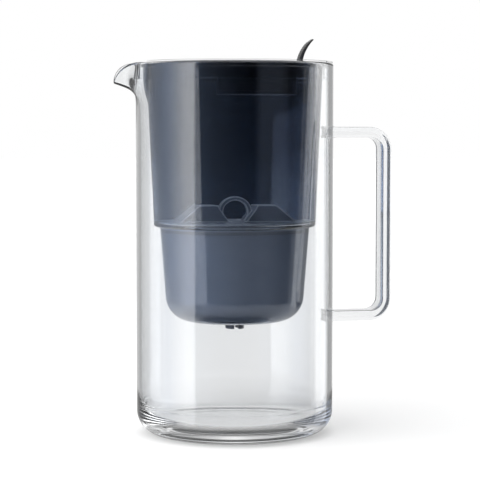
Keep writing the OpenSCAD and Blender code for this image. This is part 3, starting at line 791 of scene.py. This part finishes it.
def light_path_factors(nt):
    """Three factors, 0 or 1: where a ray shows the background, seen directly or through clear
    pieces; where it has come through clear pieces; and where it comes off a glossy surface, or
    has done so inside a clear piece."""
    lp = node(nt, "ShaderNodeLightPath", (-1600, 600))
    matt = maths(nt, "GREATER_THAN", lp.outputs["Diffuse Depth"], 0.5)
    gloss = maths(nt, "GREATER_THAN", lp.outputs["Glossy Depth"], 0.5)
    gloss = maths(nt, "MULTIPLY", gloss, maths(nt, "SUBTRACT", 1, matt))
    straight = maths(nt, "SUBTRACT", 1, maths(nt, "MAXIMUM", matt, gloss))
    through = maths(nt, "MULTIPLY", lp.outputs["Is Transmission Ray"], straight)
    return maths(nt, "MAXIMUM", lp.outputs["Is Camera Ray"], through), through, gloss


def floor_piece():
    """A wide white floor, darker under the jug: painted shade. Where that shows through the foot it
    glows more: painted light.
    """
    n, r = FLOOR_SIDES, FLOOR_FAR
    verts = [(0, 0, 0)] + [
        (r * math.cos(TAU * k / n), r * math.sin(TAU * k / n), 0) for k in range(n)
    ]
    ob = new_object("floor", verts, [(0, 1 + k, 1 + (k + 1) % n) for k in range(n)])
    mat, nt, bsdf = base_material("floor", Roughness=0.9)
    bsdf.inputs["Specular IOR Level"].default_value = 0.0
    bsdf.inputs["Emission Color"].default_value = opaque(grey(1))
    shown, through, gloss = light_path_factors(nt)
    co = node(nt, "ShaderNodeTexCoord", (-1600, -300))
    far = node(nt, "ShaderNodeVectorMath", (-1400, -300), operation="LENGTH")
    nt.links.new(co.outputs["Object"], far.inputs[0])
    start, end = (edge * MM for edge in PAINTED_UNDER_JUG)
    under = map_range(
        nt, far.outputs["Value"], start, end, (-1200, -300), interpolation_type="SMOOTHSTEP"
    )
    # Painted shade: the floor's colour is darker under the jug
    own = ramp(nt, [(0.0, grey(FLOOR_GREY_AND_SHADE[0])), (1.0, grey(FLOOR_GREY_AND_SHADE[1]))], under)
    nt.links.new(own, bsdf.inputs["Base Color"])
    # Painted light: the floor under the jug glows more where it shows through the foot
    foot = maths(nt, "MULTIPLY", through, maths(nt, "MULTIPLY", under, FOOT_PAINTED_LIGHT))
    straight = maths(nt, "MULTIPLY", shown, FLOOR_GLOW)
    open_floor = maths(nt, "SUBTRACT", straight, maths(nt, "MULTIPLY", through, THROUGH_LESS))
    nt.links.new(maths(nt, "ADD", open_floor, foot), bsdf.inputs["Emission Strength"])
    # Glossy surfaces see the studio where the open floor is, not the floor
    gone = maths(nt, "MULTIPLY", gloss, maths(nt, "SUBTRACT", 1, under))
    clear = node(nt, "ShaderNodeBsdfTransparent", (0, -200))
    mix = node(nt, "ShaderNodeMixShader", (300, 0))
    for socket, source in zip(mix.inputs, (gone, bsdf.outputs[0], clear.outputs[0])):
        nt.links.new(source, socket)
    nt.links.new(mix.outputs[0], nt.nodes["Material Output"].inputs["Surface"])
    ob.data.materials.append(mat)


# ---------------------------------------------------------------- studio
CAMERA_TURN = math.radians(-12)  # the camera stands this far round from the front
# Studio as the gloss sees it: (angle from the camera in degrees, brightness), to the right +.
# A third number is how cool the light is there, where that isn't left to its brightness
GLOSS = [
    (-180, 1.0), (-172, 0.7), (-150, 0.45), (-130, 0.4), (-112, 0.45, 0.6), (-84, 1.3, 0.6),
    (-78, 1.6, 0.4), (-70, 2.1, 0.2), (-59, 2.8, 0.1), (-47.4, 2.7, 0.1), (-46.6, 0.2, 0.9),
    (-25, 0.11, 0.9), (0, 0.04, 1), (25, 0.01, 1), (32, 0.13, 0.65), (62, 0.13, 0.65),
    (68, 0.02, 0.65), (96, 0.08, 0.65), (100, 0.1), (101, 0.9), (104, 0.4),
    (109, 0.5), (111, 2.0), (134, 2.0), (139, 0.5), (158, 0.35), (172, 0.7), (180, 1.0),
]
GLOSS_ENDS = (0.6, 1.0)  # brightness high up and low down
# Studio as it lights matt surfaces
SOFT = [
    (-180, 0.5), (-130, 0.7), (-105, 2.8), (-60, 3.9), (-17, 3.9), (-4, 0.7), (12, 0.2),
    (60, 0.15), (90, 0.25), (105, 1.3), (145, 1.3), (160, 0.6), (180, 0.5),
]
SOFT_ENDS = (0.9, 0.8)
HIGH_UP = (0.55, 0.95)  # heights between which the studio goes over to its upper end,
LOW_DOWN = (-0.25, -0.5)  # and to its lower one, as sines of the angle
PEAK = 4.0  # brighter than any stop, because a ramp's colours are kept under 1
COOL = (0.72, 0.93, 1.35)
COOL_DIM = 0.65  # how cool the dimmest light is
COOL_BELOW = 0.35  # and the brightness at which light is no longer cool


def lit(v, cool=None):
    """A brightness as a ramp's colour, a little cooler where it is dim."""
    if cool is None:
        cool = COOL_DIM * max(0.0, 1 - v / COOL_BELOW)
    return tuple(v / PEAK * lerp(1.0, c, cool) for c in COOL)


def studio():
    """The world's light: round the camera's direction by stops, with even ends above and below."""
    world = bpy.data.worlds.new("studio")
    bpy.context.scene.world = world
    world.use_nodes = True
    world.cycles.sampling_method = "NONE"
    nt = world.node_tree
    nt.nodes.clear()
    out = node(nt, "ShaderNodeOutputWorld", (900, 0))
    bg = node(nt, "ShaderNodeBackground", (700, 0))
    nt.links.new(bg.outputs[0], out.inputs["Surface"])
    co = node(nt, "ShaderNodeTexCoord", (-1800, 0))
    turn = node(nt, "ShaderNodeVectorRotate", (-1600, 0), rotation_type="Z_AXIS")
    turn.inputs["Angle"].default_value = -CAMERA_TURN
    nt.links.new(co.outputs["Generated"], turn.inputs["Vector"])
    sep = node(nt, "ShaderNodeSeparateXYZ", (-1400, 0))
    nt.links.new(turn.outputs[0], sep.inputs[0])
    angle = maths(nt, "ARCTAN2", sep.outputs["X"], maths(nt, "MULTIPLY", sep.outputs["Y"], -1))
    unit = map_range(nt, angle, -math.pi, math.pi, (-800, 0))

    def sky(stops, ends):
        around = ramp(nt, [((s[0] + 180) / 360, lit(*s[1:])) for s in stops], unit)
        colour = mixed(nt, 1.0, around, opaque(grey(PEAK)), (-300, 0), blend="MULTIPLY")
        for (z0, z1), level in zip((HIGH_UP, LOW_DOWN), ends):
            part = map_range(
                nt, sep.outputs["Z"], z0, z1, (-300, -300), interpolation_type="SMOOTHSTEP"
            )
            colour = mixed(nt, part, colour, opaque(grey(level)), (-100, 0))
        return colour

    shown, _, gloss = light_path_factors(nt)
    light = mixed(nt, gloss, sky(SOFT, SOFT_ENDS), sky(GLOSS, GLOSS_ENDS), (200, 0))
    nt.links.new(mixed(nt, shown, light, opaque(grey(1)), (450, 0)), bg.inputs["Color"])


floor_piece()
studio()

# ---------------------------------------------------------------- camera and render limits
scene = bpy.context.scene
cam = in_scene("camera", bpy.data.cameras.new("camera"))
cam.location = (-0.24585, -1.15693, 0.20559)
cam.rotation_euler = (math.radians(86.2337), 0, math.radians(-12.1697))
cam.data.sensor_width = 36
cam.data.lens = 134.194
scene.camera = cam

scene.view_settings.view_transform = "Standard"
scene.cycles.max_bounces = 24
scene.cycles.transmission_bounces = 20
scene.cycles.glossy_bounces = 10
scene.cycles.diffuse_bounces = 4
scene.cycles.transparent_max_bounces = 16
